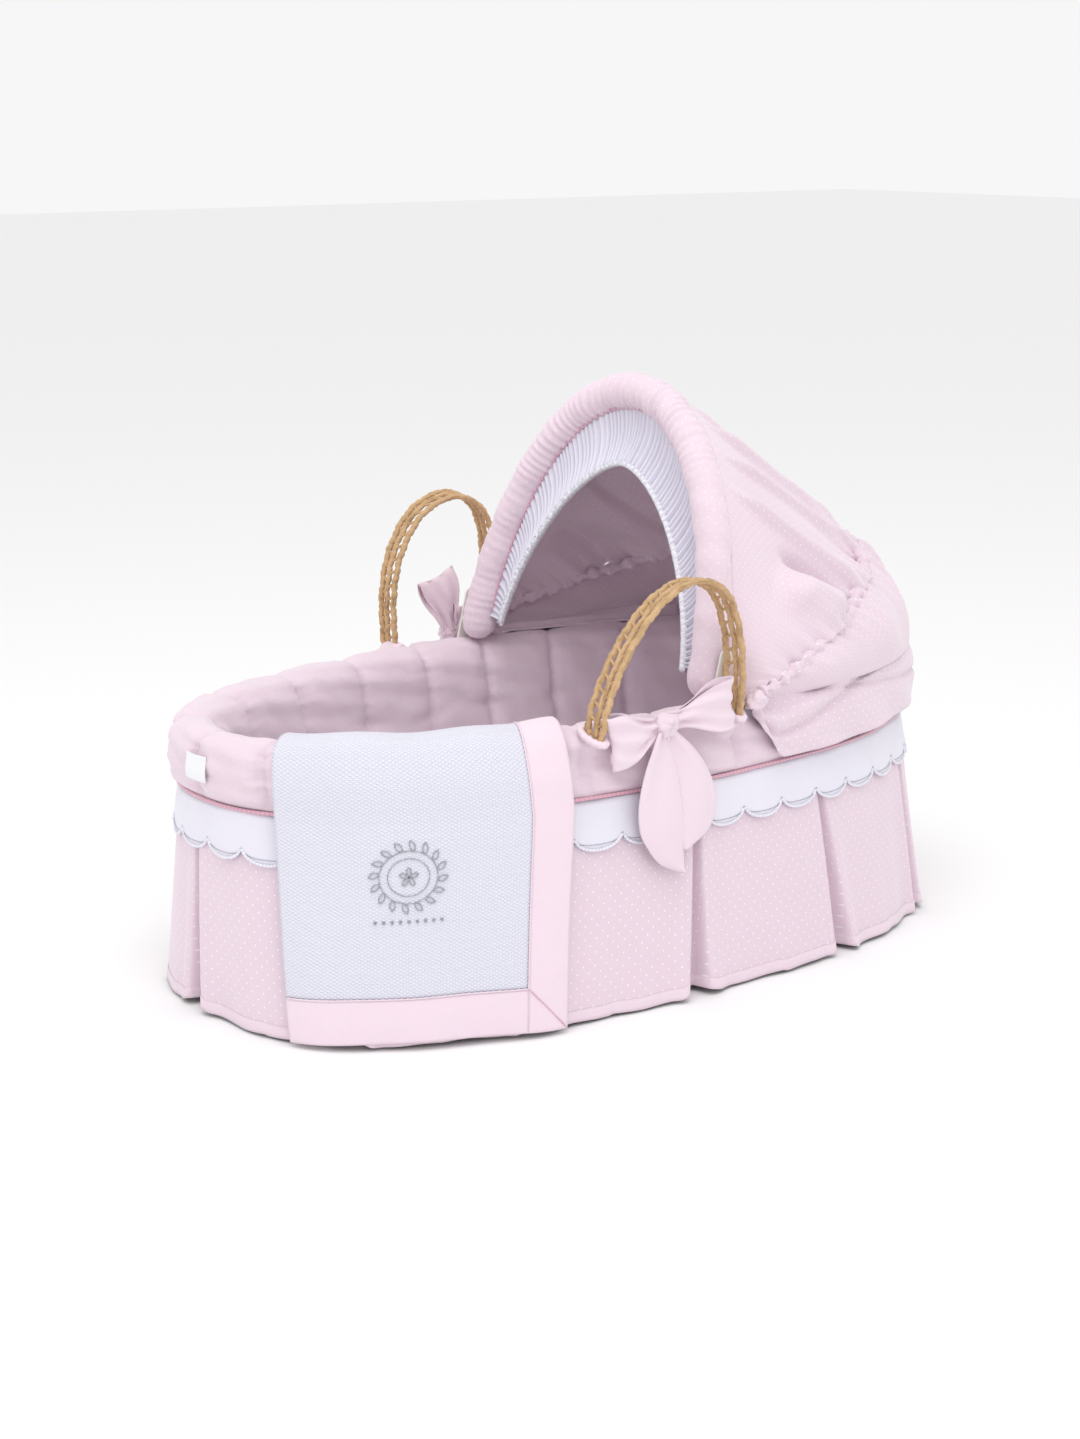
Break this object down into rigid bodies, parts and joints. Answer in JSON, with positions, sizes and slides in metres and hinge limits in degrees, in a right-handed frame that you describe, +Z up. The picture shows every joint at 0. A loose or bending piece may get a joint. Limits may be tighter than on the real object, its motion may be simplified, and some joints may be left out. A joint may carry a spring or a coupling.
{
  "type": "baby cradle",
  "caption": "Oval Moses basket with quilted liner, scalloped pleated skirt, folding padded-hoop hood, two woven palm handles, bows and a draped blanket.",
  "frame": {"origin": "centre of the basket's underside, on the floor", "axes": "+Z up, +X towards the head end that carries the hood, -Y towards the side with the large bow and the blanket"},
  "size_m": [0.8316, 0.4805, 0.5552],
  "materials": {
    "palm": "woven palm leaf straw, openwork braid",
    "board": "plain fibreboard",
    "foam": "soft polyurethane foam",
    "white_cotton": "smooth white cotton with satin stitched edges",
    "pink_cotton": "pale pink quilted cotton with small white dots",
    "piping_cotton": "rose pink piping",
    "dotted_cotton": "pale pink cotton with small white dots",
    "white_plastic": "moulded white polypropylene",
    "steel": "plated steel",
    "blanket_pique": "white waffle pique cotton"
  },
  "bodies": {
    "root": {"basket_shell": "palm", "basket_rim_braid": "palm", "base_board": "board", "mattress": "foam", "fitted_sheet": "white_cotton", "quilted_liner": "pink_cotton", "padded_rim": "pink_cotton", "quilted_cuff": "pink_cotton", "piping": "piping_cotton", "scalloped_band": "white_cotton", "skirt": "dotted_cotton", "pleat_inserts": "dotted_cotton", "handle_anchors_near": "palm", "handle_anchors_far": "palm", "slit_bindings": "pink_cotton", "hood_bracket_near": "white_plastic", "hood_bracket_far": "white_plastic", "bracket_rivets": "steel", "bracket_spacers": "board", "gathered_casing": "dotted_cotton", "hood_rear_puff": "dotted_cotton", "hood_rear_flap": "dotted_cotton", "bow_near_loops": "pink_cotton", "bow_near_knot": "pink_cotton", "bow_near_tails": "pink_cotton", "bow_far_loops": "pink_cotton", "bow_far_knot": "pink_cotton", "bow_far_tails": "pink_cotton", "sewn_label": "white_cotton"},
    "hood": {"hoop_rod": "white_plastic", "hoop_sleeve": "dotted_cotton", "hoop_end_plugs": "white_plastic", "hood_pins": "steel", "pin_washers": "white_plastic", "hoop_frill": "white_cotton", "hood_canopy": "dotted_cotton"},
    "handle_near": {"handle_near": "palm"},
    "handle_far": {"handle_far": "palm"},
    "blanket": {"blanket_panel": "blanket_pique", "blanket_border": "pink_cotton"}
  },
  "joints": [
    {"name": "hood_fold", "type": "hinge", "parent": "root", "child": "hood", "pos_m": [0.03416, 0, 0.28494], "axis": [0, 1, 0], "range_deg": [0, 70], "deforming": ["hood_canopy"]},
    {"name": "handle_near_swing", "type": "hinge", "parent": "root", "child": "handle_near", "pos_m": [-0.047, -0.218, 0.262], "axis": [1, 0, 0], "range_deg": [0, 110]},
    {"name": "handle_far_swing", "type": "hinge", "parent": "root", "child": "handle_far", "pos_m": [0, 0.218, 0.262], "axis": [-1, 0, 0], "range_deg": [0, 110]},
    {"name": "blanket_lift", "type": "slide", "parent": "root", "child": "blanket", "axis": [0, 0, 1], "range_m": [0, 0.15]}
  ]
}
